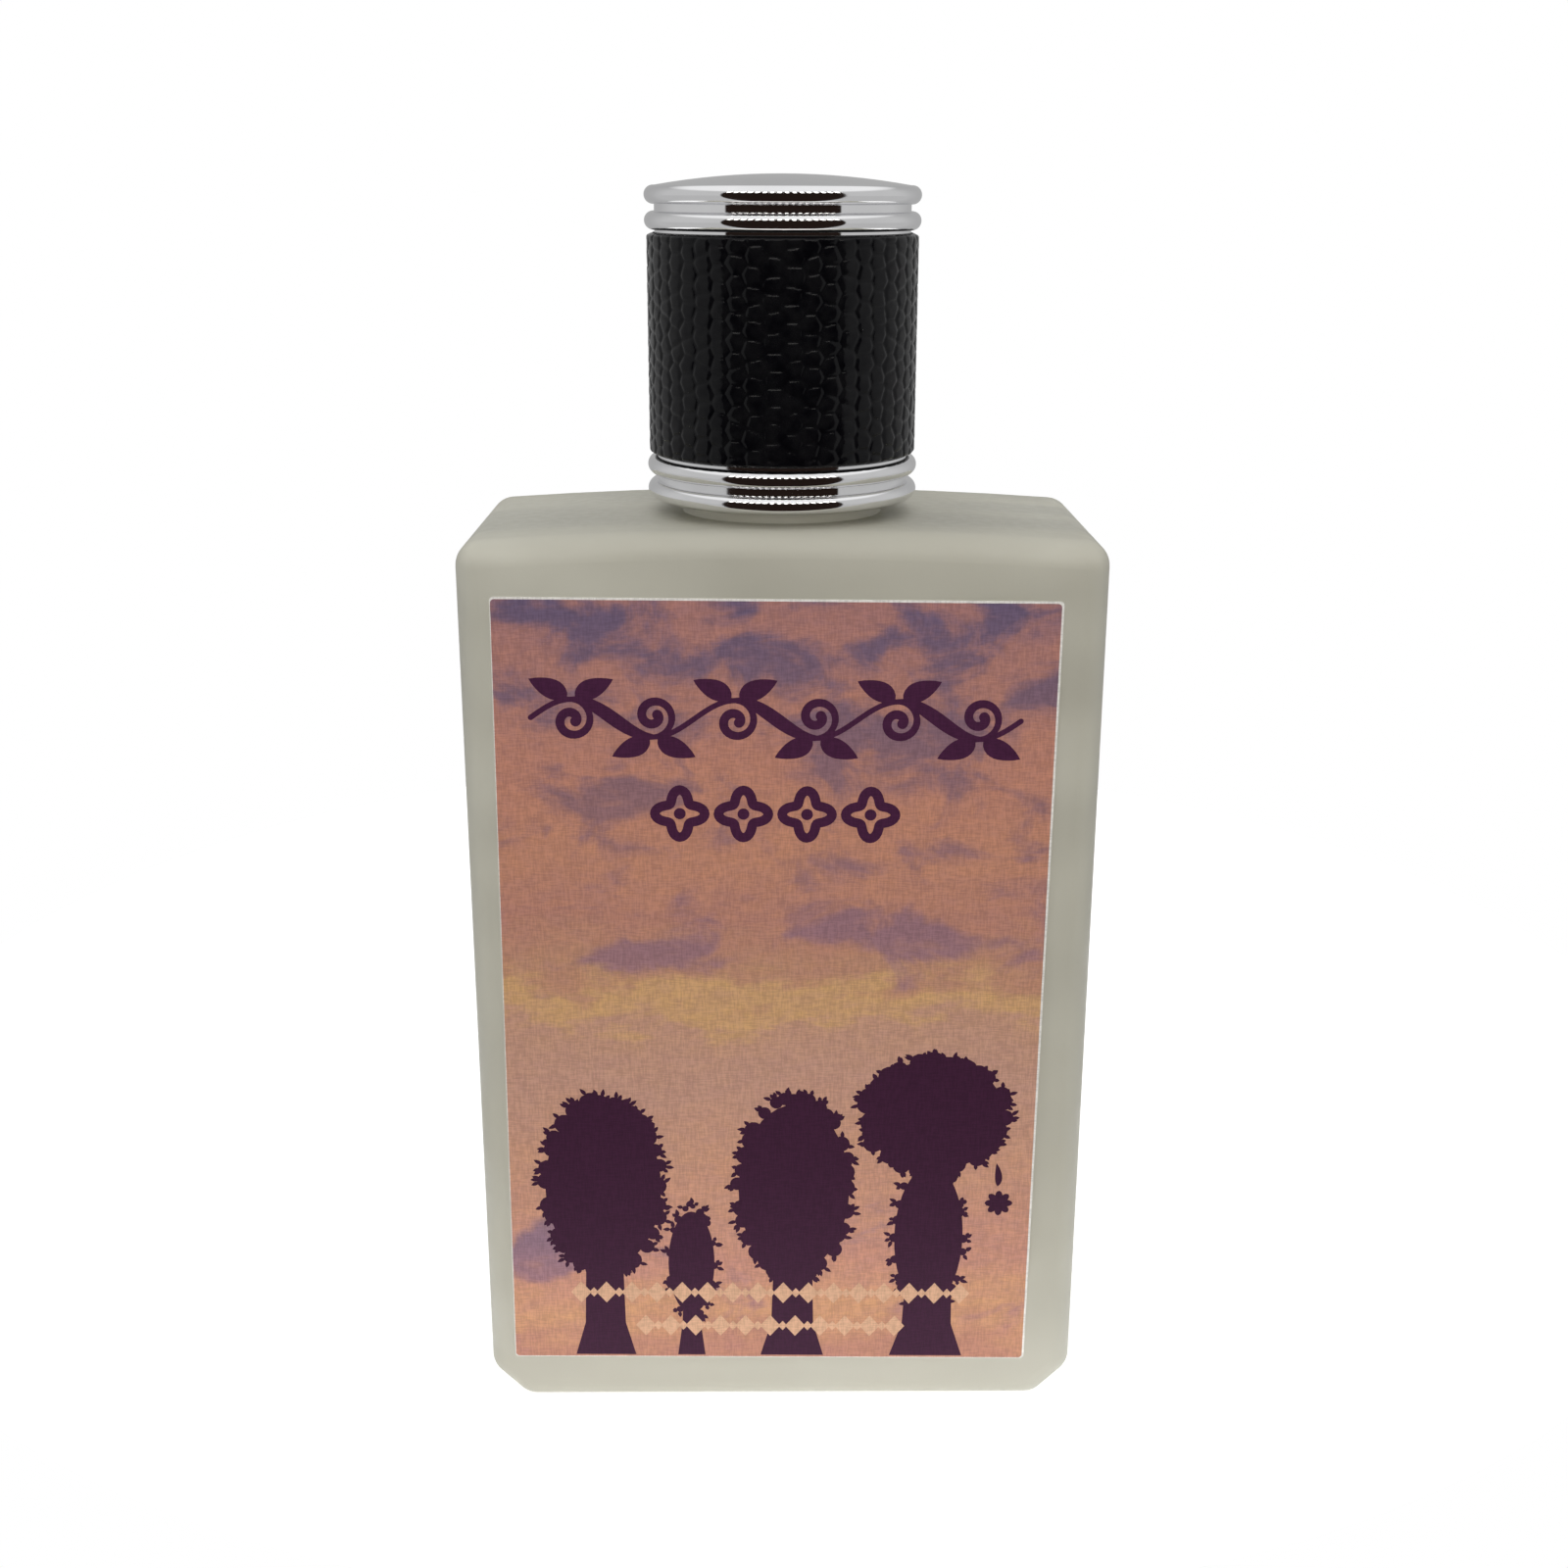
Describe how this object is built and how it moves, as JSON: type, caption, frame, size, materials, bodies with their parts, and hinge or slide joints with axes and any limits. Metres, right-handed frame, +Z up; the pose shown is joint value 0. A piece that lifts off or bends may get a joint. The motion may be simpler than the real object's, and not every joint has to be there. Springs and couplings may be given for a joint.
{
  "type": "aftershave bottle",
  "caption": "Rectangular frosted glass splash flask with softened corners, a printed front label, a pouring insert, and a round screw cap in embossed black leather between chrome bands.",
  "frame": {"origin": "centre of the flask's underside, on the surface that it stands on", "axes": "+Z up along the neck and the cap, -Y out of the labelled front, +X to the viewer's right when facing the label"},
  "size_m": [0.064, 0.0315, 0.1302],
  "materials": {
    "frosted_glass": "acid-etched, satin, faintly green-grey",
    "label_film": "matt printed film with a sunset sky",
    "insert_plastic": "natural polyethylene",
    "wad_foam": "expanded polyethylene foam",
    "liner_plastic": "moulded polypropylene",
    "core_plastic": "moulded black plastic",
    "black_leather": "glossy, embossed with a pebble grain",
    "chrome_trim": "polished chrome plate",
    "weight_steel": "zinc-plated steel"
  },
  "bodies": {
    "flask": {"glass_bottle": "frosted_glass", "front_label": "label_film", "splash_insert": "insert_plastic"},
    "seal": {"seal_wad": "wad_foam"},
    "cap": {"threaded_liner": "liner_plastic", "cap_core": "core_plastic", "leather_wrap": "black_leather", "lower_ring": "chrome_trim", "top_crown": "chrome_trim", "cap_weight": "weight_steel"}
  },
  "joints": [
    {"name": "cap_rise", "type": "slide", "parent": "flask", "child": "seal", "axis": [0, 0, 1], "range_m": [0, 0.016]},
    {"name": "cap_unscrew", "type": "hinge", "parent": "seal", "child": "cap", "pos_m": [0, 0, 0], "axis": [0, 0, 1], "range_deg": [0, 1800]}
  ],
  "couplings": [
    {"joint": "cap_rise", "follows": "cap_unscrew", "m_per_rad": 0.00050532}
  ]
}
